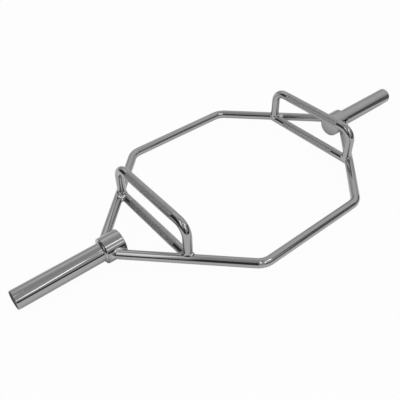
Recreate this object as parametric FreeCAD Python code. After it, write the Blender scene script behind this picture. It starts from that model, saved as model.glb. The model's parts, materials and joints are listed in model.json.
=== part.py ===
import FreeCAD, Part
import math
import os

# A hex trap bar: two bent round bars make a six-sided frame that the lifter stands in. Their ends are
# welded to two collars, which carry the plate sleeves. Each side has a low handle between the bars and
# a raised handle standing on them.
# Millimetres, +Z up. X runs along the sleeves, left is -X, front is -Y. The origin is on the floor,
# under the middle of the frame, and the bar lies on its two collars.

# Sleeves, the tubes that the plates slide onto
sleeve_diameter = 50.0
sleeve_wall = 5.0
sleeve_exposed_length = 234.0
sleeve_seat_depth = 40.0
sleeve_spigot_step = 1.0
sleeve_end_chamfer = 1.0

# Collars, turned steel, closed on the inner face and bored for the sleeve on the outer face
collar_diameter = 70.0
collar_length = 54.0
collar_spacing = 802.0
collar_chamfer = 1.5

# Plastic plugs in the open ends of the sleeves
plug_flange_thickness = 2.5
plug_flange_inset = 1.5
plug_flange_round = 0.8
plug_stem_length = 22.0
plug_stem_wall = 2.5

# Frame bars, measured along their centrelines from corner to corner, as if the bends were sharp
bar_diameter = 25.4
frame_depth = 576.0
frame_edge_length = 346.0
frame_bend_radius = 50.0

# Handles, one bar size for the low and the raised ones
handle_diameter = 25.0
handle_spacing = 600.0
raise_height = 100.0
raised_bend_radius = 34.0
leg_inset = 12.0

# Knurled grips, rolled into the middle of each handle, stopping short of the raised handle's legs
knurl_setback = 50.0
knurl_rise = 0.25

# Fits and welds
seat_clearance = 0.1
plug_clearance = 0.1
root_gap = 0.2
weld_leg = 4.5
sleeve_weld_leg = 4.0

# What follows from the sizes above
sleeve_radius = sleeve_diameter / 2
spigot_radius = sleeve_radius - sleeve_spigot_step
seat_radius = spigot_radius + seat_clearance
sleeve_weld_radius = sleeve_radius + sleeve_weld_leg
collar_radius = collar_diameter / 2
bar_radius = bar_diameter / 2
handle_radius = handle_diameter / 2
axis_height = collar_radius
collar_inner_x = collar_spacing / 2
collar_outer_x = collar_inner_x + collar_length
collar_middle_x = collar_inner_x + collar_length / 2
sleeve_end_x = collar_outer_x + sleeve_exposed_length
sleeve_seat_x = collar_outer_x - sleeve_seat_depth
sleeve_weld_end_x = collar_outer_x + sleeve_weld_leg
sleeve_weld_root_x = collar_outer_x - sleeve_weld_leg
corner_x = frame_edge_length / 2
corner_y = frame_depth / 2
handle_x = handle_spacing / 2
grip_height = axis_height + raise_height

# Each slanted run of a frame bar points from the frame's corner to the middle of the collar's wall
slant_run = collar_middle_x - corner_x
slant_drop = corner_y - collar_radius
slant_length = math.hypot(slant_run, slant_drop)
bar_end_x = collar_middle_x + bar_radius * slant_run / slant_length
bar_end_y = collar_radius - bar_radius * slant_drop / slant_length

# The low handle meets the slanted run here, and the raised handle's legs stand just inside of it
crossing_y = corner_y - (handle_x - corner_x) * slant_drop / slant_run
leg_y = crossing_y - leg_inset
leg_foot_height = axis_height + handle_radius / 2
knurl_half_length = leg_y - knurl_setback

SIDES = {"left": -1, "right": 1}
ENDS = {"front": -1, "rear": 1}
ALONG_X = FreeCAD.Vector(1, 0, 0)


def point(x, y, z):
    return FreeCAD.Vector(x, y, z)


def rod(start, finish, radius):
    along = finish - start
    return Part.makeCylinder(radius, along.Length, start, along)


def turned(profile):
    """A solid turned about the X axis at the sleeves' height, from (distance along X, radius) points."""
    corners = [point(x, 0, axis_height + radius) for x, radius in profile]
    face = Part.Face(Part.makePolygon(corners + corners[:1]))
    return face.revolve(point(0, 0, axis_height), ALONG_X, 360)


def on_side(shape, side):
    """What is made for the right side, or its mirror image for the left."""
    if side > 0:
        return shape
    return shape.mirror(point(0, 0, 0), ALONG_X)


def rounded_path(corners, bend_radius):
    """Straight runs between the corners, joined by arcs that are tangent to both runs."""
    edges = []
    run_start = corners[0]
    for before, corner, after in zip(corners, corners[1:], corners[2:]):
        arriving = (corner - before).normalize()
        leaving = (after - corner).normalize()
        half_turn = arriving.getAngle(leaving) / 2
        inward = (leaving - arriving).normalize()
        tangent = bend_radius * math.tan(half_turn)
        arc_start = corner - arriving * tangent
        arc_middle = corner + inward * (bend_radius / math.cos(half_turn) - bend_radius)
        arc_end = corner + leaving * tangent
        edges.append(Part.LineSegment(run_start, arc_start).toShape())
        edges.append(Part.Arc(arc_start, arc_middle, arc_end).toShape())
        run_start = arc_end
    edges.append(Part.LineSegment(run_start, corners[-1]).toShape())
    return Part.Wire(edges)


def bent_bar(corners, bend_radius, radius):
    path = rounded_path(corners, bend_radius)
    section = Part.Wire(Part.makeCircle(radius, corners[0], corners[1] - corners[0]))
    return path.makePipeShell([section], True, False)


def sleeve():
    """A tube whose inner end is turned down to a spigot, as far out as the weld reaches."""
    bore_radius = sleeve_radius - sleeve_wall
    return turned([
        (sleeve_seat_x, bore_radius),
        (sleeve_seat_x, spigot_radius),
        (sleeve_weld_end_x, spigot_radius),
        (sleeve_weld_end_x, sleeve_radius),
        (sleeve_end_x - sleeve_end_chamfer, sleeve_radius),
        (sleeve_end_x, sleeve_radius - sleeve_end_chamfer),
        (sleeve_end_x, bore_radius),
    ])


def collar():
    """A turned collar, whose bore takes the sleeve's spigot and whose mouth is bevelled for the weld."""
    return turned([
        (collar_inner_x, 0),
        (collar_inner_x, collar_radius - collar_chamfer),
        (collar_inner_x + collar_chamfer, collar_radius),
        (collar_outer_x - collar_chamfer, collar_radius),
        (collar_outer_x, collar_radius - collar_chamfer),
        (collar_outer_x, sleeve_weld_radius),
        (sleeve_weld_root_x, seat_radius),
        (sleeve_seat_x, seat_radius),
        (sleeve_seat_x, 0),
    ])


def sleeve_weld():
    """The bead round the sleeve's root, which fills the collar's bevel and closes the gap of the seat."""
    return turned([
        (sleeve_weld_root_x, spigot_radius),
        (sleeve_weld_root_x, seat_radius),
        (collar_outer_x, sleeve_weld_radius),
        (sleeve_weld_end_x, sleeve_radius),
        (sleeve_weld_end_x, spigot_radius),
    ])


def end_plug():
    """A hollow push-in plug whose flange covers the end of the sleeve."""
    flange_radius = sleeve_radius - plug_flange_inset
    stem_radius = sleeve_radius - sleeve_wall - plug_clearance
    face_x = sleeve_end_x + plug_flange_thickness
    stem_x = sleeve_end_x - plug_stem_length
    return turned([
        (sleeve_end_x, 0),
        (sleeve_end_x, stem_radius - plug_stem_wall),
        (stem_x, stem_radius - plug_stem_wall),
        (stem_x, stem_radius),
        (sleeve_end_x, stem_radius),
        (sleeve_end_x, flange_radius),
        (face_x - plug_flange_round, flange_radius),
        (face_x, flange_radius - plug_flange_round),
        (face_x, 0),
    ])


def frame_bar(end):
    """One bent bar, from collar to collar, with both ends coped to the round of the collars."""
    bar = bent_bar([
        point(-bar_end_x, end * bar_end_y, axis_height),
        point(-corner_x, end * corner_y, axis_height),
        point(corner_x, end * corner_y, axis_height),
        point(bar_end_x, end * bar_end_y, axis_height),
    ], frame_bend_radius, bar_radius)
    for side in SIDES.values():
        start = point(side * (collar_inner_x - bar_diameter), 0, axis_height)
        finish = point(side * (collar_outer_x + bar_diameter), 0, axis_height)
        bar = bar.cut(rod(start, finish, collar_radius + root_gap))
    return bar


def slanted_run(side, end, extra):
    """The straight run of a frame bar beside one collar, thicker all round by extra."""
    start = point(side * corner_x, end * corner_y, axis_height)
    finish = point(side * bar_end_x, end * bar_end_y, axis_height)
    return rod(start, finish, bar_radius + extra)


def handle_half(side, end, extra):
    """One half of a low handle, up to the frame bar's centreline, thicker and shorter by extra."""
    start = point(side * handle_x, 0, axis_height)
    finish = point(side * handle_x, end * (crossing_y - extra), axis_height)
    return rod(start, finish, handle_radius + extra)


def grip(side, height):
    """The knurled length of a handle, as its outside diameter."""
    start = point(side * handle_x, -knurl_half_length, height)
    finish = point(side * handle_x, knurl_half_length, height)
    return rod(start, finish, handle_radius + knurl_rise)


def low_handle(side):
    """A straight bar between the two frame bars, both ends coped to them."""
    front = point(side * handle_x, -crossing_y, axis_height)
    rear = point(side * handle_x, crossing_y, axis_height)
    handle = rod(front, rear, handle_radius).fuse(grip(side, axis_height))
    for end in ENDS.values():
        handle = handle.cut(slanted_run(side, end, root_gap))
    return handle.removeSplitter()


def raised_handle(side):
    """A bar bent to a U, whose feet are coped to the frame bars and the low handle."""
    handle = bent_bar([
        point(side * handle_x, -leg_y, leg_foot_height),
        point(side * handle_x, -leg_y, grip_height),
        point(side * handle_x, leg_y, grip_height),
        point(side * handle_x, leg_y, leg_foot_height),
    ], raised_bend_radius, handle_radius)
    handle = handle.fuse(grip(side, grip_height))
    for end in ENDS.values():
        handle = handle.cut(slanted_run(side, end, root_gap))
        handle = handle.cut(handle_half(side, end, root_gap))
    return handle.removeSplitter()


def leg(side, end, extra):
    """The straight part of a raised handle's leg, down to its foot, thicker and lower by extra."""
    start = point(side * handle_x, end * leg_y, leg_foot_height - extra)
    finish = point(side * handle_x, end * leg_y, grip_height - raised_bend_radius)
    return rod(start, finish, handle_radius + extra)


def collar_weld(side, end):
    """The bead where a frame bar meets a collar: what is within one leg of both of them."""
    start = point(side * (collar_inner_x + collar_chamfer), 0, axis_height)
    finish = point(side * (collar_outer_x - collar_chamfer), 0, axis_height)
    bead = slanted_run(side, end, weld_leg).common(rod(start, finish, collar_radius + weld_leg))
    bead = bead.cut(slanted_run(side, end, 0))
    return bead.cut(rod(start, finish, collar_radius))


def low_handle_weld(side, end):
    """The bead where a low handle meets a frame bar, beside and below the raised handle's bead."""
    bead = handle_half(side, end, weld_leg).common(slanted_run(side, end, weld_leg))
    bead = bead.cut(slanted_run(side, end, 0))
    bead = bead.cut(handle_half(side, end, 0))
    return bead.cut(leg(side, end, weld_leg))


def raised_handle_weld(side, end):
    """The bead round a raised handle's foot, on the frame bar and the low handle."""
    below = slanted_run(side, end, weld_leg).fuse(handle_half(side, end, weld_leg))
    bead = leg(side, end, weld_leg).common(below)
    bead = bead.cut(leg(side, end, 0))
    bead = bead.cut(slanted_run(side, end, 0))
    return bead.cut(handle_half(side, end, 0))


def all_nodes():
    nodes = {}
    for end_name, end in ENDS.items():
        nodes[end_name + "_frame_bar"] = frame_bar(end)
    for side_name, side in SIDES.items():
        nodes[side_name + "_collar"] = on_side(collar(), side)
        nodes[side_name + "_sleeve"] = on_side(sleeve(), side)
        nodes[side_name + "_sleeve_weld"] = on_side(sleeve_weld(), side)
        nodes[side_name + "_end_plug"] = on_side(end_plug(), side)
        nodes[side_name + "_low_handle"] = low_handle(side)
        nodes[side_name + "_raised_handle"] = raised_handle(side)
        for end_name, end in ENDS.items():
            corner_name = side_name + "_" + end_name
            nodes[corner_name + "_collar_weld"] = collar_weld(side, end)
            nodes[corner_name + "_low_handle_weld"] = low_handle_weld(side, end)
            nodes[corner_name + "_raised_handle_weld"] = raised_handle_weld(side, end)
    return nodes


os.makedirs("parts", exist_ok=True)
for name, shape in all_nodes().items():
    shape.exportStep("parts/" + name + ".step")
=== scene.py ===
import json
import math
import random
from functools import partial

import bmesh
import bpy
from mathutils import Matrix, Quaternion, Vector


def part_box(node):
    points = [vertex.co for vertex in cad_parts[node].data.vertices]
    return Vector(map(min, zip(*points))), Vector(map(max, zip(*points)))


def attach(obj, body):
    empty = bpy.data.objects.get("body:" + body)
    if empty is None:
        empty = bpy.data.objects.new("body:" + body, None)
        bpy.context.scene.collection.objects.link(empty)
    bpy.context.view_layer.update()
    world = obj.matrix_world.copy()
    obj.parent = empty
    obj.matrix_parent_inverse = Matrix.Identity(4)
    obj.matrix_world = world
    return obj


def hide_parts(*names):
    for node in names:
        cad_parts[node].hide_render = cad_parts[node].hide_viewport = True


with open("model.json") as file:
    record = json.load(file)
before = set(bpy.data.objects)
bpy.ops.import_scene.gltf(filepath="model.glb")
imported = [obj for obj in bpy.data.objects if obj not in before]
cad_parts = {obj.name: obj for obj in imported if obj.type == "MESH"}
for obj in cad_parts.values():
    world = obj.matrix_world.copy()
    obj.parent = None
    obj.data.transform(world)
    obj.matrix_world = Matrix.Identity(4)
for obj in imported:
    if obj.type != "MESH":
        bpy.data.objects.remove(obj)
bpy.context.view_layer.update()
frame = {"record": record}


# Frame bars
# Two 25.4 mm round steel bars, each bent twice on a former, make the six-sided frame that the lifter
# stands in. Both ends are coped to the collars, and the bar is polished and chrome plated.
MM = 0.001
SIDES = {"left": -1, "right": 1}
ENDS = {"front": -1, "rear": 1}
bar_low, bar_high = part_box("rear_frame_bar")
collar_low, collar_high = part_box("right_collar")
axis_height = (bar_low.z + bar_high.z) / 2
bar_radius = (bar_high.z - bar_low.z) / 2
collar_radius = (collar_high.z - collar_low.z) / 2
collar_middle_x = (collar_low.x + collar_high.x) / 2
half_edge = 173 * MM
corner = Vector((half_edge, bar_high.y - bar_radius, axis_height))
slant = Vector((collar_middle_x - corner.x, collar_radius - corner.y, 0)).normalized()
slant_outward = Vector((-slant.y, slant.x, 0))
bar_end = Vector((collar_middle_x, collar_radius, axis_height)) - slant * bar_radius
frame_bend_radius = 50 * MM
cope_gap = 0.2 * MM
ring_points = 64
bend_steps = 20
merge_distance = 0.002 * MM
plain_sharp_angle = math.radians(35)
chrome_grey = 0.4
polish_roughness = 0.05
smear_roughness = 0.07
smear_shade = 0.06
wave_depth = 0.015 * MM


def start_ring(name, centre, axis, radius, points=ring_points):
    """Adds a piece that is one open ring of points round an axis, selected in edit mode."""
    bpy.ops.object.select_all(action="DESELECT")
    turn = axis.to_track_quat("Z", "Y").to_euler()
    bpy.ops.mesh.primitive_circle_add(vertices=points, radius=radius, location=centre, rotation=turn)
    piece = bpy.context.object
    piece.name = name
    piece.data.name = name
    bpy.ops.object.transform_apply(location=True, rotation=True, scale=True)
    bpy.ops.object.mode_set(mode="EDIT")
    bpy.ops.mesh.select_all(action="SELECT")
    return piece


def run_on(step):
    """Extrudes the selected ring straight on."""
    bpy.ops.mesh.extrude_region_move(TRANSFORM_OT_translate={"value": step})


def run_along(corners, bend_radius):
    """Extrudes the selected ring from corner to corner, and spins it round a bend at each inner one."""
    here = corners[0]
    for before, middle, after in zip(corners, corners[1:], corners[2:]):
        arriving = (middle - before).normalized()
        leaving = (after - middle).normalized()
        turn = arriving.angle(leaving)
        setback = bend_radius * math.tan(turn / 2)
        run_on(middle - arriving * setback - here)
        inward = (leaving - arriving).normalized()
        bend_centre = middle + inward * bend_radius / math.cos(turn / 2)
        clockwise_axis = leaving.cross(arriving)
        bpy.ops.mesh.spin(steps=bend_steps, angle=turn, center=bend_centre, axis=clockwise_axis)
        here = middle + leaving * setback
    run_on(corners[-1] - here)


def select_open_ring(piece, centre):
    """Selects only the open ring of points round a place."""
    bpy.context.tool_settings.mesh_select_mode = (False, True, False)
    bpy.ops.mesh.select_all(action="DESELECT")
    mesh = bmesh.from_edit_mesh(piece.data)
    for edge in mesh.edges:
        if edge.is_boundary and (edge.verts[0].co - centre).length < 2 * bar_radius:
            edge.select_set(True)
    bmesh.update_edit_mesh(piece.data)
    bpy.context.tool_settings.mesh_select_mode = (True, False, False)


def cope(piece, seat):
    """Moves each point of the selected ring to where it meets the next bar."""
    mesh = bmesh.from_edit_mesh(piece.data)
    for point in mesh.verts:
        if point.select:
            point.co = seat(point.co)
    bmesh.update_edit_mesh(piece.data)


def onto_collar(point, side, end):
    """Where a line along the slanted run through this point comes a gap short of the collar."""
    height = point.z - axis_height
    seat_y = math.sqrt((collar_radius + cope_gap) ** 2 - height ** 2)
    travel = (seat_y - end * point.y) / slant.y
    return point + Vector((side * slant.x, end * slant.y, 0)) * travel


def close_ends():
    """Merges doubles, fills the open rings, turns the faces outwards and leaves edit mode."""
    bpy.ops.mesh.select_all(action="SELECT")
    bpy.ops.mesh.remove_doubles(threshold=merge_distance)
    bpy.ops.mesh.select_all(action="DESELECT")
    bpy.ops.mesh.select_non_manifold()
    bpy.ops.mesh.edge_face_add()
    bpy.ops.mesh.select_all(action="SELECT")
    bpy.ops.mesh.normals_make_consistent(inside=False)
    bpy.ops.object.mode_set(mode="OBJECT")


def pick(piece):
    """Makes a piece the active one and the only one selected."""
    bpy.ops.object.select_all(action="DESELECT")
    piece.select_set(True)
    bpy.context.view_layer.objects.active = piece


def apply_modifier(piece, kind, **settings):
    """Gives a piece a modifier with these settings, and applies it."""
    pick(piece)
    modifier = piece.modifiers.new(kind.lower(), kind)
    for name, value in settings.items():
        setattr(modifier, name, value)
    bpy.ops.object.modifier_apply(modifier=modifier.name)


def smooth(piece, sharp_angle=plain_sharp_angle):
    """Shades all but the sharp edges smooth, with the long faces straight beside bends and rounds."""
    pick(piece)
    bpy.ops.object.shade_smooth_by_angle(angle=sharp_angle)
    apply_modifier(piece, "WEIGHTED_NORMAL", keep_sharp=True)


class Shade:
    """One socket of a shader. Sums on it add Math nodes, and node() adds any other kind of node."""

    def __init__(self, tree, socket=None):
        self.tree = tree
        self.socket = socket

    def feed(self, target, value):
        """Links a Shade to a node's input, or sets the input to a plain value."""
        if isinstance(value, Shade):
            self.tree.links.new(value.socket, target)
        else:
            target.default_value = value

    def node(self, kind, inputs, output=0, **settings):
        """Adds a node with these settings and inputs, and gives one of its outputs."""
        made = self.tree.nodes.new("ShaderNode" + kind)
        for name, value in settings.items():
            setattr(made, name, value)
        for name, value in inputs.items():
            self.feed(made.inputs[name], value)
        return Shade(self.tree, made.outputs[output])

    def math(self, operation, first, second=0.0):
        """Adds a Math node."""
        return self.node("Math", {0: first, 1: second}, operation=operation)

    def __add__(self, other):
        return self.math("ADD", self, other)

    def __radd__(self, other):
        return self.math("ADD", other, self)

    def __sub__(self, other):
        return self.math("SUBTRACT", self, other)

    def __rsub__(self, other):
        return self.math("SUBTRACT", other, self)

    def __mul__(self, other):
        return self.math("MULTIPLY", self, other)

    def __rmul__(self, other):
        return self.math("MULTIPLY", other, self)

    def __pow__(self, other):
        return self.math("POWER", self, other)

    def between(self, low, high):
        """0 at low and below, 1 at high and above, eased in between."""
        return self.node("MapRange", {0: self, 1: low, 2: high}, interpolation_type="SMOOTHSTEP")

    def parts(self):
        """The three numbers of a vector."""
        return [self.node("SeparateXYZ", {0: self}, output=axis) for axis in range(3)]

    def stretched(self, x, y, z):
        """These coordinates with each axis multiplied by a number of its own."""
        return self.node("VectorMath", {0: self, 1: (x, y, z)}, operation="MULTIPLY")

    def noise(self, scale, detail):
        """Noise from 0 to 1 over these coordinates, with scale in features per metre."""
        return self.node("TexNoise", {"Vector": self, "Scale": scale, "Detail": detail})

    def mix(self, first, second):
        """A grey that goes from the first to the second as this number goes from 0 to 1."""
        colours = {"Factor": self, 6: grey(first), 7: grey(second)}
        return self.node("Mix", colours, output=2, data_type="RGBA")

    def bump(self, depth):
        """A normal that follows this height, from 0 to 1, of that depth in metres."""
        return self.node("Bump", {"Height": self, "Distance": depth, "Strength": 1.0})


def grey(level):
    """The colour of a level of grey."""
    return (level, level, level, 1)


def new_finish(name):
    """A material, its main shader and its Object coordinates."""
    material = bpy.data.materials.new(name)
    material.use_nodes = True
    place = Shade(material.node_tree).node("TexCoord", {}, output="Object")
    return material, material.node_tree.nodes["Principled BSDF"], place


def polish_smears(place):
    """The faint smears on a polished bar, from 0 to 1."""
    return place.noise(scale=24, detail=4)


def polish_waves(place):
    """A normal with the slight waviness that polishing leaves."""
    return place.noise(scale=60, detail=1).bump(wave_depth)


def smeared_grey(smears, spread):
    """The grey of the plate, darker and paler by a share of itself where it is smeared."""
    return smears.mix(chrome_grey * (1 - spread), chrome_grey * (1 + spread))


def polished_chrome():
    """Bright plate on a polished bar, with faint smears and slight waves."""
    material, shader, place = new_finish("polished_chrome")
    smears = polish_smears(place)
    shader.inputs["Metallic"].default_value = 1
    place.feed(shader.inputs["Base Color"], smeared_grey(smears, smear_shade))
    place.feed(shader.inputs["Roughness"], polish_roughness + smear_roughness * smears)
    place.feed(shader.inputs["Normal"], polish_waves(place))
    return material


def finish_piece(piece, material, node):
    """Gives a piece its finish, hangs it under the root body, and hides the part of the frame it stands
    for.
    """
    piece.data.materials.append(material)
    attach(piece, "root")
    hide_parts(node)


bar_chrome = polished_chrome()
for end_name, end in ENDS.items():
    bar_middle = Vector((0, end * corner.y, axis_height))
    frame_bar = start_ring(end_name + "_bar", bar_middle, Vector((1, 0, 0)), bar_radius)
    for side in SIDES.values():
        mirrored = Vector((side, end, 1))
        run_along([bar_middle, corner * mirrored, bar_end * mirrored], frame_bend_radius)
        cope(frame_bar, lambda point: onto_collar(point, side, end))
        select_open_ring(frame_bar, bar_middle)
    close_ends()
    smooth(frame_bar)
    finish_piece(frame_bar, bar_chrome, end_name + "_frame_bar")


# Collars
# Two short turned steel rounds that carry everything: the frame bars are welded to their wall, the
# sleeve sits in their bore, and the plates stop against their outer face.
collar_chamfer = 1.5 * MM
collar_edge = 0.4 * MM
seat_depth = 40 * MM
seat_radius = 24.1 * MM
mouth_radius = 29 * MM
mouth_depth = 4 * MM
turned_points = 128
edge_segments = 3
edge_limit = math.radians(20)
collar_mark_depth = 0.006 * MM
turned_smear_shade = 0.05
turned_smear_roughness = 0.03
rubbed_roughness = 0.05
# Round the axis, the marks and the rubbing change at only these shares of their rate along it.
mark_share = 0.02
rub_share = 0.05


def turn_outline(name, side, outline):
    """Extrudes a ring along the sleeves' axis and scales it at each step, as on a lathe."""
    x, radius = outline[0]
    outward = Vector((side, 0, 0))
    centre = Vector((side * x, 0, axis_height))
    piece = start_ring(name, centre, outward, radius, turned_points)
    for next_x, next_radius in outline[1:]:
        run_on(outward * (next_x - x))
        centre = Vector((side * next_x, 0, axis_height))
        growth = next_radius / radius
        bpy.ops.transform.resize(value=(1, growth, growth), center_override=centre)
        x = next_x
        radius = next_radius
    close_ends()
    return piece


def break_edges(piece, width):
    """Rounds the sharp edges a little, as a file or a polishing wheel does."""
    apply_modifier(
        piece, "BEVEL", width=width, segments=edge_segments,
        limit_method="ANGLE", angle_limit=edge_limit)


def turned_chrome(name, mark_depth):
    """Plate on a turned part: rings left by the tool, faint smears and fine rubbing round the axis."""
    material, shader, place = new_finish(name)
    smears = place.noise(scale=30, detail=4)
    tool_marks = place.stretched(1, mark_share, mark_share).noise(scale=900, detail=2)
    rubs = place.stretched(1, rub_share, rub_share).noise(scale=260, detail=3)
    rubbing = rubs.between(low=0.45, high=0.75)
    roughness = polish_roughness + turned_smear_roughness * smears + rubbed_roughness * rubbing
    shader.inputs["Metallic"].default_value = 1
    place.feed(shader.inputs["Base Color"], smeared_grey(smears, turned_smear_shade))
    place.feed(shader.inputs["Roughness"], roughness)
    place.feed(shader.inputs["Normal"], tool_marks.bump(mark_depth))
    return material


collar_chrome = turned_chrome("turned_collar_chrome", collar_mark_depth)
collar_outline = [
    (collar_low.x, collar_radius - collar_chamfer),
    (collar_low.x + collar_chamfer, collar_radius),
    (collar_high.x - collar_chamfer, collar_radius),
    (collar_high.x, collar_radius - collar_chamfer),
    (collar_high.x, mouth_radius),
    (collar_high.x - mouth_depth, seat_radius),
    (collar_high.x - seat_depth, seat_radius),
]
for side_name, side in SIDES.items():
    collar = turn_outline(side_name + "_turned_collar", side, collar_outline)
    break_edges(collar, collar_edge)
    smooth(collar)
    finish_piece(collar, collar_chrome, side_name + "_collar")


# Sleeves
# Steel tubes for plates with a 2-inch hole. The inner end is turned down to a spigot that sits in the
# collar, and the outer end has its edge broken.
sleeve_low, sleeve_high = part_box("right_sleeve")
sleeve_radius = (sleeve_high.z - sleeve_low.z) / 2
sleeve_wall = 5 * MM
bore_radius = sleeve_radius - sleeve_wall
spigot_radius = 24 * MM
spigot_reach = 4 * MM
sleeve_chamfer = 1 * MM
sleeve_edge = 0.4 * MM
sleeve_mark_depth = 0.0015 * MM

sleeve_chrome = turned_chrome("turned_sleeve_chrome", sleeve_mark_depth)
sleeve_outline = [
    (sleeve_low.x, bore_radius),
    (sleeve_low.x, spigot_radius),
    (collar_high.x + spigot_reach, spigot_radius),
    (collar_high.x + spigot_reach, sleeve_radius),
    (sleeve_high.x - sleeve_chamfer, sleeve_radius),
    (sleeve_high.x, sleeve_radius - sleeve_chamfer),
    (sleeve_high.x, bore_radius),
    (sleeve_low.x, bore_radius),
]
for side_name, side in SIDES.items():
    sleeve = turn_outline(side_name + "_plate_sleeve", side, sleeve_outline)
    break_edges(sleeve, sleeve_edge)
    smooth(sleeve)
    finish_piece(sleeve, sleeve_chrome, side_name + "_sleeve")


# Sleeve welds
# A bead laid round the root of each sleeve, in the collar's bevelled mouth. It is left as welded, in
# overlapping ripples, and plated with the rest.
sleeve_weld_leg = 4.6 * MM
sleeve_weld_hollow = -0.4
seam_points = 240
section_spacing = 0.5 * MM
section_points = 10
root_sink = 0.4
flow_reach = 4
ripple_pitch = 3.2 * MM
ripple_rise = 0.4 * MM
ripple_bow = 0.5
smallest_ripple = 0.4
largest_ripple = 1.2
lump_count = 4
lump_rise = 0.9 * MM
lump_reach = 2.5 * MM
pool_growth = 2.2
pool_width = 8 * MM
bead_sharp_angle = math.radians(60)
weld_shade = 0.95
patch_shade = 0.45
# Where metal pooled, the weld is painted paler: a painted highlight.
pool_painted_highlight = 0.4
weld_roughness = 0.11
patch_roughness = 0.1
pool_roughness = 0.2
pit_depth = 0.08 * MM


def evenly(loop, pitch):
    """Points along a closed loop at one spacing, near to the pitch."""
    nexts = loop[1:] + loop[:1]
    lengths = [(after - before).length for before, after in zip(loop, nexts)]
    count = round(sum(lengths) / pitch)
    spacing = sum(lengths) / count
    chosen = []
    travelled = 0.0
    for before, after, length in zip(loop, nexts, lengths):
        while len(chosen) < count and len(chosen) * spacing <= travelled + length:
            share = (len(chosen) * spacing - travelled) / length
            chosen.append(before.lerp(after, share))
        travelled += length
    return chosen


def flow(loop):
    """A loop with each point at the average of its neighbours, as a weld pool flows."""
    flowed = []
    for i in range(len(loop)):
        neighbours = [loop[(i + step) % len(loop)] for step in range(-flow_reach, flow_reach + 1)]
        flowed.append(sum(neighbours, Vector()) / len(neighbours))
    return flowed


def closeness(section, place, count, reach):
    """1 at a place on a closed seam of so many sections, and less the further a section is from it."""
    away = abs(section - place)
    return math.exp(-(min(away, count - away) * section_spacing / reach) ** 2)


def on_round(point, centre, direction, radius):
    """The nearest place on a round bar, and the way out of the bar there."""
    along = direction * (point - centre).dot(direction)
    outward = (point - centre - along).normalized()
    return centre + along + outward * radius, outward


def on_flat(point, centre, direction):
    """The nearest place on a flat face, and the way out of it."""
    return point - direction * (point - centre).dot(direction), direction


def bead_toes(seats, pools, on_bar, on_base, leg):
    """The two edges of a bead: where its sections end on the bar, and where they end on its base."""
    bar_toes = []
    base_toes = []
    for seat, pool in zip(seats, pools):
        bar_way = on_bar(seat)[1]
        base_way = on_base(seat)[1]
        lean = bar_way.dot(base_way)
        reach = leg * (1 + pool_growth * pool)
        bar_toes.append(on_bar(seat + (base_way - bar_way * lean) * reach)[0])
        base_toes.append(on_base(seat + (bar_way - base_way * lean) * reach)[0])
    return flow(bar_toes), flow(base_toes)


def skin_piece(name, points, faces):
    """A piece of these points and faces, turned outwards, left in edit mode with all of it selected."""
    mesh = bpy.data.meshes.new(name)
    mesh.from_pydata(points, [], faces)
    piece = bpy.data.objects.new(name, mesh)
    bpy.context.scene.collection.objects.link(piece)
    pick(piece)
    bpy.ops.object.mode_set(mode="EDIT")
    bpy.ops.mesh.select_all(action="SELECT")
    bpy.ops.mesh.normals_make_consistent(inside=False)
    return piece


def lay_bead(name, seam, on_bar, on_base, leg, hollow, pool_way=None, pool_highlight_share=1.0):
    """A weld bead along a closed seam: sections from a bar to its base, swollen in ripples and lumps.

    A pool way is the side of the seam where the metal ran together in a corner, and the last argument
    is how much of the painted highlight of such a pool it has.
    """
    chance = random.Random(name)
    seats = evenly(seam, section_spacing)
    count = len(seats)
    pools = [0.0] * count
    if pool_way is not None:
        pool_place = max(range(count), key=lambda i: seats[i].dot(pool_way))
        pools = [closeness(i, pool_place, count, pool_width) for i in range(count)]
    bar_toes, base_toes = bead_toes(seats, pools, on_bar, on_base, leg)
    ripples = round(count * section_spacing / ripple_pitch)
    ripple_sizes = [chance.uniform(smallest_ripple, largest_ripple) for ripple in range(ripples)]
    lumps = [chance.uniform(0, count) for lump in range(lump_count)]
    points = []
    for i in range(count):
        middle = (bar_toes[i] + base_toes[i]) / 2
        thickness = middle - seats[i]
        waist = middle.lerp(seats[i], hollow)
        lump = lump_rise * sum(closeness(i, place, count, lump_reach) for place in lumps)
        for step in range(section_points):
            share = step / (section_points - 1)
            arch = 4 * share * (1 - share)
            ripple = ripples * i / count + ripple_bow * arch
            swell = ripple_rise * ripple_sizes[int(ripple) % ripples] * abs(math.sin(math.pi * ripple))
            skin = bar_toes[i].lerp(waist, share).lerp(waist.lerp(base_toes[i], share), share)
            points.append(skin + thickness * arch * (1 - pools[i]) * (swell + lump) / leg)
        points.append(seats[i] - thickness * root_sink)
    width = section_points + 1
    faces = []
    for i in range(count):
        here = i * width
        beside = (i + 1) % count * width
        for step in range(width):
            after = (step + 1) % width
            faces.append((here + step, here + after, beside + after, beside + step))
    bead = skin_piece(name, points, faces)
    bpy.ops.object.mode_set(mode="OBJECT")
    smooth(bead, bead_sharp_angle)
    # Each point keeps its pool share, times the pool's highlight share, for the finish's painted
    # highlight.
    pool_and_painted_highlight = bead.data.attributes.new("pool_and_painted_highlight", "FLOAT", "POINT")
    pool_and_painted_highlight.data.foreach_set("value", [pool * pool_highlight_share for pool in pools for step in range(width)])
    return bead


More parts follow.
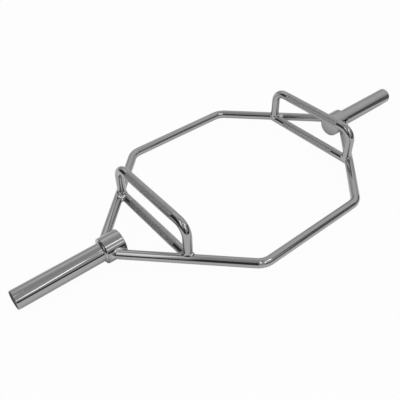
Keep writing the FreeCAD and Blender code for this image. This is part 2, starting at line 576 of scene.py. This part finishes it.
def plated_weld():
    """Plate over a bead that wasn't ground: pitted, in paler patches, with a painted highlight where
    metal pooled.
    """
    material, shader, place = new_finish("plated_weld")
    pits = place.noise(scale=700, detail=3)
    patches = place.noise(scale=90, detail=3)
    pool = place.node("Attribute", {}, output="Fac", attribute_name="pool_and_painted_highlight")
    pool_and_painted_highlight = pool.between(low=0.3, high=0.7)
    plate_grey = chrome_grey * (weld_shade + patch_shade * patches)
    roughness = weld_roughness + patch_roughness * patches + pool_roughness * pool_and_painted_highlight
    shader.inputs["Metallic"].default_value = 1
    # The pool gets a painted highlight in its colour, and is also rougher.
    place.feed(shader.inputs["Base Color"], plate_grey + pool_painted_highlight * pool_and_painted_highlight)
    place.feed(shader.inputs["Roughness"], roughness)
    place.feed(shader.inputs["Normal"], pits.bump(pit_depth))
    return material


def circle():
    """The cosine and sine of evenly spaced angles round a circle."""
    angles = [2 * math.pi * i / seam_points for i in range(seam_points)]
    return [(math.cos(angle), math.sin(angle)) for angle in angles]


weld_finish = plated_weld()
for side_name, side in SIDES.items():
    outward = Vector((side, 0, 0))
    root = Vector((side * collar_high.x, 0, axis_height))
    seam = [root + Vector((0, c, s)) * sleeve_radius for c, s in circle()]
    on_sleeve = partial(on_round, centre=root, direction=outward, radius=sleeve_radius)
    on_collar_face = partial(on_flat, centre=root, direction=outward)
    name = side_name + "_sleeve_bead"
    bead = lay_bead(name, seam, on_sleeve, on_collar_face, sleeve_weld_leg, sleeve_weld_hollow)
    finish_piece(bead, weld_finish, side_name + "_sleeve_weld")


# End plugs
# Black moulded plugs pushed into the open ends of the sleeves. A domed head covers the tube's end, with
# the mould's gate mark at its middle, and a hollow stem grips the bore.
plug_low, plug_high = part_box("right_end_plug")
head_radius = (plug_high.z - plug_low.z) / 2
head_edge = 0.6 * MM
dome_height = plug_high.x - sleeve_high.x - head_edge
dome_rings = 12
gate_radius = 2.5 * MM
gate_slope = 0.5 * MM
gate_depth = 0.4 * MM
plug_stem_radius = 19.9 * MM
plug_stem_wall = 2.5 * MM
plug_stem_bore = plug_stem_radius - plug_stem_wall
plug_edge = 0.3 * MM
plug_black = 0.014
rubbed_black = 0.03
plug_roughness = 0.5
plug_rub_roughness = 0.2
plug_specular = 0.2
grain_depth = 0.04 * MM


def moulded_black():
    """Black plastic with the fine grain of the mould, a little paler where hands have rubbed it."""
    material, shader, place = new_finish("moulded_black")
    grain = place.noise(scale=2200, detail=2)
    rubbed = place.noise(scale=70, detail=3)
    place.feed(shader.inputs["Base Color"], rubbed.mix(plug_black, rubbed_black))
    place.feed(shader.inputs["Roughness"], plug_roughness + plug_rub_roughness * rubbed)
    shader.inputs["Specular IOR Level"].default_value = plug_specular
    place.feed(shader.inputs["Normal"], grain.bump(grain_depth))
    return material


plug_finish = moulded_black()
plug_outline = [
    (sleeve_high.x, plug_stem_bore),
    (plug_low.x, plug_stem_bore),
    (plug_low.x, plug_stem_radius),
    (sleeve_high.x, plug_stem_radius),
    (sleeve_high.x, head_radius),
]
for ring in range(dome_rings):
    share = 1 - ring / dome_rings * (1 - gate_radius / head_radius)
    plug_outline.append((plug_high.x - dome_height * share ** 2, head_radius * share))
plug_outline.append((plug_high.x, gate_radius))
plug_outline.append((plug_high.x - gate_depth, gate_radius - gate_slope))
for side_name, side in SIDES.items():
    plug = turn_outline(side_name + "_sleeve_plug", side, plug_outline)
    break_edges(plug, plug_edge)
    smooth(plug)
    finish_piece(plug, plug_finish, side_name + "_end_plug")


# Low handles
# Straight round bars between the two frame bars, coped to them. The middle is rolled between two
# knurling wheels, which raise crossing rows of small diamonds.
places = {mount["name"]: Vector(mount["pos_m"]) for mount in frame["record"]["mounts"]}
low_grip = places["right_low_grip"]
handle_radius = 12.5 * MM
leg_y = 150 * MM
knurl_setback = 50 * MM
grip_half_length = leg_y - knurl_setback
diamond_length = 2.1 * MM
diamond_flank = 0.4 * MM
diamond_rise = 0.16 * MM
knurl_rise = 0.25 * MM
root_radius = handle_radius + knurl_rise - diamond_rise
grip_lead = 0.4 * MM
knurl_fade = 0.5 * MM
knurl_sharp_angle = math.radians(20)
knurl_roughness = 0.27
# The diamond tops are painted paler than the grooves between them: a painted highlight.
painted_top_highlight = 0.3


def knurled_grip(name, middle):
    """A tube of diamonds along Y whose faces are each inset and raised, left in edit mode."""
    rows = 2 * round(2 * grip_half_length / diamond_length)
    points = []
    for row in range(rows + 1):
        y = grip_half_length * (2 * row / rows - 1)
        for column in range(ring_points):
            angle = 2 * math.pi * (column + row % 2 / 2) / ring_points
            radial = Vector((math.cos(angle), 0, math.sin(angle))) * root_radius
            points.append(middle + radial + Vector((0, y, 0)))

    def at(row, column):
        return row * ring_points + column % ring_points

    faces = []
    for column in range(ring_points):
        faces.append((at(0, column), at(0, column + 1), at(1, column)))
        faces.append((at(rows, column), at(rows - 1, column), at(rows, column + 1)))
        for row in range(rows - 1):
            before = at(row + 1, column - 1 + row % 2)
            after = at(row + 1, column + row % 2)
            faces.append((at(row, column), after, at(row + 2, column), before))
    handle = skin_piece(name, points, faces)
    bpy.ops.mesh.inset(thickness=diamond_flank, depth=diamond_rise, use_individual=True)
    return handle


def start_end(handle, middle, end):
    """Runs the open ring at one end of the grip out to the plain bar's size."""
    grip_end = middle + Vector((0, end * grip_half_length, 0))
    ring_centre = grip_end + Vector((0, end * grip_lead, 0))
    select_open_ring(handle, grip_end)
    run_on(ring_centre - grip_end)
    growth = handle_radius / root_radius
    bpy.ops.transform.resize(value=(growth, 1, growth), center_override=ring_centre)
    return ring_centre


def slant_distance(x, y):
    """How far a point right of the middle and behind it lies outside the slanted run's centreline."""
    return (Vector((x, y, axis_height)) - corner).dot(slant_outward)


def onto_slant(point, end):
    """Where a line along Y through this point comes a gap short of the slanted run."""
    height = point.z - axis_height
    reach = math.sqrt((bar_radius + cope_gap) ** 2 - height ** 2)
    travel = (-reach - slant_distance(abs(point.x), end * point.y)) / slant_outward.y
    return point + Vector((0, end * travel, 0))


def knurled_chrome(name, middle):
    """Plate over a knurl: dull on the diamonds, a painted highlight on their tops, bright on the plain
    ends.
    """
    material, shader, place = new_finish(name)
    x, y, z = place.parts()
    from_axis = ((x - middle.x) ** 2 + (z - middle.z) ** 2) ** 0.5
    along = y.math("ABSOLUTE", y)
    knurled = 1 - along.between(grip_half_length - knurl_fade, grip_half_length)
    # Height above the knurl's root marks the diamond tops, which get a painted highlight in their
    # colour.
    painted_top_highlight_mask = knurled * from_axis.between(root_radius, root_radius + diamond_rise)
    smears = polish_smears(place)
    roughness = polish_roughness + smear_roughness * smears + knurl_roughness * knurled
    shader.inputs["Metallic"].default_value = 1
    place.feed(shader.inputs["Base Color"], chrome_grey * (1 + painted_top_highlight * painted_top_highlight_mask))
    place.feed(shader.inputs["Roughness"], roughness)
    place.feed(shader.inputs["Normal"], polish_waves(place))
    return material


for side_name, side in SIDES.items():
    middle = low_grip * Vector((side, 1, 1))
    low_handle = knurled_grip(side_name + "_straight_handle", middle)
    for end in ENDS.values():
        ring_centre = start_end(low_handle, middle, end)
        run_on(Vector((middle.x, end * leg_y, middle.z)) - ring_centre)
        cope(low_handle, lambda point: onto_slant(point, end))
    close_ends()
    smooth(low_handle, knurl_sharp_angle)
    low_finish = knurled_chrome(side_name + "_low_handle_chrome", middle)
    finish_piece(low_handle, low_finish, side_name + "_low_handle")


# Raised handles
# The same bar and knurl bent to a U. Its legs stand on the frame bars, over the ends of the low
# handles, and give the lifter a shorter reach.
raised_grip = places["right_raised_grip"]
raised_bend_radius = 34 * MM


def foot_height(x, y):
    """Height of the frame bar or low handle, whichever is higher, under a point of a leg's foot."""
    off_slant = min(abs(slant_distance(abs(x), abs(y))), bar_radius)
    off_handle = min(abs(abs(x) - low_grip.x), handle_radius)
    on_slant = math.sqrt(bar_radius ** 2 - off_slant ** 2)
    on_handle = math.sqrt(handle_radius ** 2 - off_handle ** 2)
    return axis_height + max(on_slant, on_handle)


def onto_foot(point):
    """Where a line straight down through this point comes a gap short of the bars below."""
    return Vector((point.x, point.y, foot_height(point.x, point.y) + cope_gap))


for side_name, side in SIDES.items():
    middle = raised_grip * Vector((side, 1, 1))
    raised_handle = knurled_grip(side_name + "_bent_handle", middle)
    for end in ENDS.values():
        ring_centre = start_end(raised_handle, middle, end)
        bend_corner = Vector((middle.x, end * leg_y, middle.z))
        foot = Vector((middle.x, end * leg_y, axis_height + bar_radius))
        run_along([ring_centre, bend_corner, foot], raised_bend_radius)
        cope(raised_handle, onto_foot)
    close_ends()
    smooth(raised_handle, knurl_sharp_angle)
    raised_finish = knurled_chrome(side_name + "_raised_handle_chrome", middle)
    finish_piece(raised_handle, raised_finish, side_name + "_raised_handle")


# Frame welds
# Beads where the frame bars meet the collars, where the low handles meet the frame bars, and round
# the feet of the raised handles. None is ground off, and metal has pooled in the rear corners.
bar_centre = Vector((0, 0, axis_height))
upright = Vector((0, 0, 1))
collar_weld_leg = 6 * MM
collar_weld_hollow = 0.6
handle_weld_leg = 4.6 * MM
foot_weld_leg = 5.2 * MM
handle_weld_hollow = -0.5
rear_pool_way = Vector((0.87, 0, 0.5))
# How strong the painted highlight is on each side's rear pool.
pool_highlight_shares = {"left": 1.0, "right": 0.45}


def on_nearer(point, first, second):
    """The nearest place on either of two bars, and the way out of it there."""
    return min(first(point), second(point), key=lambda found: (found[0] - point).length)


on_collar = partial(on_round, centre=bar_centre, direction=Vector((1, 0, 0)), radius=collar_radius)
for side_name, side in SIDES.items():
    for end_name, end in ENDS.items():
        mirrored = Vector((side, end, 1))
        slant_side = slant_outward * mirrored
        handle_middle = low_grip * mirrored
        leg_foot = Vector((side * low_grip.x, end * leg_y, 0))
        collar_seam = []
        handle_seam = []
        foot_seam = []
        for c, s in circle():
            bar_point = bar_end * mirrored + (slant_side * c + upright * s) * bar_radius
            collar_seam.append(onto_collar(bar_point, side, end))
            handle_point = handle_middle + Vector((c, 0, s)) * handle_radius
            handle_seam.append(onto_slant(handle_point, end))
            foot_seam.append(onto_foot(leg_foot + Vector((c, s, 0)) * handle_radius))
        on_bar = partial(
            on_round, centre=corner * mirrored, direction=slant * mirrored, radius=bar_radius)
        on_handle = partial(
            on_round, centre=handle_middle, direction=Vector((0, 1, 0)), radius=handle_radius)
        on_leg = partial(on_round, centre=leg_foot, direction=upright, radius=handle_radius)
        on_both = partial(on_nearer, first=on_bar, second=on_handle)
        pool_ways = {"front": None, "rear": rear_pool_way * mirrored}
        name = side_name + "_" + end_name
        beads = {
            "collar_weld": lay_bead(
                name + "_bar_bead", collar_seam, on_bar, on_collar,
                collar_weld_leg, collar_weld_hollow),
            "low_handle_weld": lay_bead(
                name + "_handle_bead", handle_seam, on_handle, on_bar,
                handle_weld_leg, handle_weld_hollow, pool_ways[end_name], pool_highlight_shares[side_name]),
            "raised_handle_weld": lay_bead(
                name + "_foot_bead", foot_seam, on_leg, on_both,
                foot_weld_leg, handle_weld_hollow),
        }
        for weld_name, bead in beads.items():
            finish_piece(bead, weld_finish, name + "_" + weld_name)


# Studio
# A white floor in a pale room, with soft lamps round the bar. Dark cards, which show only as
# reflections, give the chrome its dark bands. Azimuth 0 is to the rear and 90 to the right.
floor_radius = 40.0
floor_points = 96
floor_grey = 0.85
floor_roughness = 0.9
floor_glow = 0.96
mirrored_floor_glow = 0.7
contact_shadow = 50 * MM
contact_samples = 8
room_glow = 0.5
low_room_glow = 0.08
high_room_glow = 0.22
glow_way = Vector((0.87, 0.5, 0))
card_points = 180
card_pale_grey = 0.6
card_roughness = 1.0


def toward(azimuth, elevation):
    """The unit vector to a place in the room, from its angles in degrees."""
    around = math.radians(azimuth)
    above = math.radians(elevation)
    return Vector((
        math.sin(around) * math.cos(above),
        math.cos(around) * math.cos(above),
        math.sin(above),
    ))


# The camera sees the floor almost white. The chrome mirrors it a little darker, and darker still close
# to the bars, which shade it.
bpy.ops.object.select_all(action="DESELECT")
bpy.ops.mesh.primitive_circle_add(vertices=floor_points, radius=floor_radius, fill_type="NGON")
floor = bpy.context.object
floor.name = "floor"
floor_finish, floor_shader, floor_place = new_finish("white_floor")
floor_shader.inputs["Base Color"].default_value = grey(floor_grey)
floor_shader.inputs["Roughness"].default_value = floor_roughness
camera_ray = floor_place.node("LightPath", {}, output="Is Camera Ray")
glossy_ray = floor_place.node("LightPath", {}, output="Is Glossy Ray")
transmission_ray = floor_place.node("LightPath", {}, output="Is Transmission Ray")
white = floor_place.node("Emission", {"Strength": 1.0})
lit = Shade(floor_place.tree, floor_shader.outputs[0])
open_floor = floor_place.node(
    "AmbientOcclusion", {"Distance": contact_shadow}, output="AO", samples=contact_samples)
mirrored_glow = mirrored_floor_glow * open_floor ** 2
seen = floor_glow * camera_ray + mirrored_glow * (glossy_ray + transmission_ray)
shown = floor_place.node("MixShader", {0: seen, 1: lit, 2: white})
floor_place.tree.links.new(shown.socket, floor_place.tree.nodes["Material Output"].inputs["Surface"])
floor.data.materials.append(floor_finish)

# The room is one grey all round, and glows more to the right and rear, most of all in a high band.
world = bpy.data.worlds.new("pale_room")
bpy.context.scene.world = world
world.use_nodes = True
sky = Shade(world.node_tree).node("TexCoord", {}, output="Generated")
sky_x, sky_y, sky_z = sky.parts()
right_rear = glow_way.x * sky_x + glow_way.y * sky_y
low_glow = right_rear.between(low=0.2, high=0.7)
high_band = sky_z.between(low=0.4, high=0.65) * (1 - sky_z.between(low=0.84, high=0.97))
high_glow = right_rear.between(low=-0.45, high=0.25) * high_band
room = room_glow + low_room_glow * low_glow + high_room_glow * high_glow
sky.feed(world.node_tree.nodes["Background"].inputs["Strength"], room)
world.node_tree.nodes["Background"].inputs["Color"].default_value = grey(1)


def soft_lamp(name, aim, azimuth, elevation, distance, width, height, brightness, lean=0):
    """A softbox aimed at a place, with its brightness as the level of grey that it shows."""
    lamp_data = bpy.data.lights.new(name, "AREA")
    lamp_data.shape = "RECTANGLE"
    lamp_data.size = width
    lamp_data.size_y = height
    lamp_data.energy = brightness * math.pi * width * height
    lamp = bpy.data.objects.new(name, lamp_data)
    bpy.context.scene.collection.objects.link(lamp)
    direction = toward(azimuth, elevation)
    lamp.location = aim + direction * distance
    turn = direction.to_track_quat("Z", "Y") @ Quaternion((0, 0, 1), math.radians(lean))
    lamp.rotation_euler = turn.to_euler()
    lamp.visible_camera = False


# The places on the bar, or in its open middle, that the lamps are aimed at.
left_of_middle = Vector((-150 * MM, 0, axis_height))
right_collar_place = Vector((430 * MM, 0, axis_height))
left_collar_place = Vector((-430 * MM, 0, axis_height))
left_slant = Vector((-377 * MM, -86 * MM, axis_height))
left_bend = Vector((-302 * MM, -143 * MM, 138 * MM))
soft_lamp(
    "sleeve_lamp", left_of_middle, azimuth=180, elevation=41, distance=3.0,
    width=0.18, height=1.2, brightness=2.8, lean=-30)
soft_lamp(
    "collar_lamp", right_collar_place, azimuth=180, elevation=65, distance=3.0,
    width=0.25, height=0.32, brightness=2.1)
soft_lamp(
    "frame_lamp", left_slant, azimuth=-106, elevation=61, distance=1.5,
    width=0.46, height=1.2, brightness=1.05, lean=13)
soft_lamp(
    "overhead_lamp", left_bend, azimuth=-172, elevation=68, distance=9.0,
    width=0.45, height=0.45, brightness=11)
soft_lamp(
    "right_lamp", left_bend, azimuth=138, elevation=49, distance=1.3,
    width=0.22, height=0.22, brightness=4)
soft_lamp(
    "camera_lamp", left_bend, azimuth=-164, elevation=48, distance=4.0,
    width=0.36, height=0.36, brightness=6)
soft_lamp(
    "low_lamp", left_bend, azimuth=165, elevation=37, distance=1.3,
    width=0.15, height=0.15, brightness=1.4)
soft_lamp(
    "rear_lamp", left_collar_place, azimuth=22, elevation=46, distance=3.0,
    width=1.4, height=0.34, brightness=0.33)


def curved_card(name, centre, radius, first_azimuth, last_azimuth, elevation, dark_grey, pale_from):
    """A dark card that bends round a place, from the floor up to an elevation in degrees.

    It pales from a share of its height to its top.
    """
    top = radius * math.tan(math.radians(elevation))
    bpy.ops.object.select_all(action="DESELECT")
    bpy.ops.mesh.primitive_cylinder_add(
        vertices=card_points, radius=radius, depth=top, end_fill_type="NOTHING",
        location=(centre.x, centre.y, top / 2))
    card = bpy.context.object
    card.name = name
    bpy.ops.object.transform_apply(location=True, rotation=True, scale=True)
    bpy.ops.object.mode_set(mode="EDIT")
    bpy.ops.mesh.select_all(action="DESELECT")
    mesh = bmesh.from_edit_mesh(card.data)
    for face in mesh.faces:
        place = face.calc_center_median() - centre
        azimuth = math.degrees(math.atan2(place.x, place.y)) % 360
        if not first_azimuth <= azimuth <= last_azimuth:
            face.select_set(True)
    bmesh.update_edit_mesh(card.data)
    bpy.ops.mesh.delete(type="FACE")
    bpy.ops.object.mode_set(mode="OBJECT")
    card_finish, card_shader, card_place = new_finish(name)
    height = card_place.parts()[2]
    pale = height.between(top * pale_from, top)
    card_place.feed(card_shader.inputs["Base Color"], pale.mix(dark_grey, card_pale_grey))
    card_shader.inputs["Roughness"].default_value = card_roughness
    card.data.materials.append(card_finish)
    card.visible_camera = False
    card.visible_shadow = False
    card.visible_diffuse = False


front_run = Vector((0, -corner.y, axis_height))
right_sleeve_middle = Vector(((collar_high.x + sleeve_high.x) / 2, 0, axis_height))
curved_card(
    "low_curtain", bar_centre, radius=5.0, first_azimuth=95, last_azimuth=190,
    elevation=17, dark_grey=0.02, pale_from=0.7)
curved_card(
    "front_left_curtain", bar_centre, radius=1.8, first_azimuth=212, last_azimuth=234,
    elevation=54, dark_grey=0.08, pale_from=0.6)
curved_card(
    "left_card", bar_centre, radius=1.8, first_azimuth=234, last_azimuth=247,
    elevation=27, dark_grey=0.08, pale_from=0.6)
curved_card(
    "rear_left_curtain", bar_centre, radius=1.8, first_azimuth=247, last_azimuth=330,
    elevation=54, dark_grey=0.08, pale_from=0.6)
curved_card(
    "front_card", front_run, radius=1.3, first_azimuth=118, last_azimuth=146,
    elevation=52, dark_grey=0.3, pale_from=0.5)
curved_card(
    "sleeve_card", right_sleeve_middle, radius=0.2, first_azimuth=95, last_azimuth=165,
    elevation=20, dark_grey=0.35, pale_from=0.9)


# Camera
# It looks down on the bar from the front left, from about 1.4 m away. Its place, roll and lens were
# fitted to the edges of every bar in the photograph, together with the sizes of the bar.
camera_azimuth = 217.83
camera_elevation = 42.27
camera_roll = math.radians(1.57)
camera_distance = 1386.1 * MM
camera_target = Vector((-148.9 * MM, -9.0 * MM, axis_height))
camera_lens = 45.16

back = toward(camera_azimuth, camera_elevation)
level_right = upright.cross(back).normalized()
right = level_right * math.cos(camera_roll) - back.cross(level_right) * math.sin(camera_roll)
up = back.cross(right)
bpy.ops.object.camera_add(location=camera_target + back * camera_distance)
camera = bpy.context.object
camera.rotation_euler = Matrix((right, up, back)).transposed().to_euler()
camera.data.lens = camera_lens
bpy.context.scene.camera = camera
bpy.context.scene.view_settings.view_transform = "Standard"
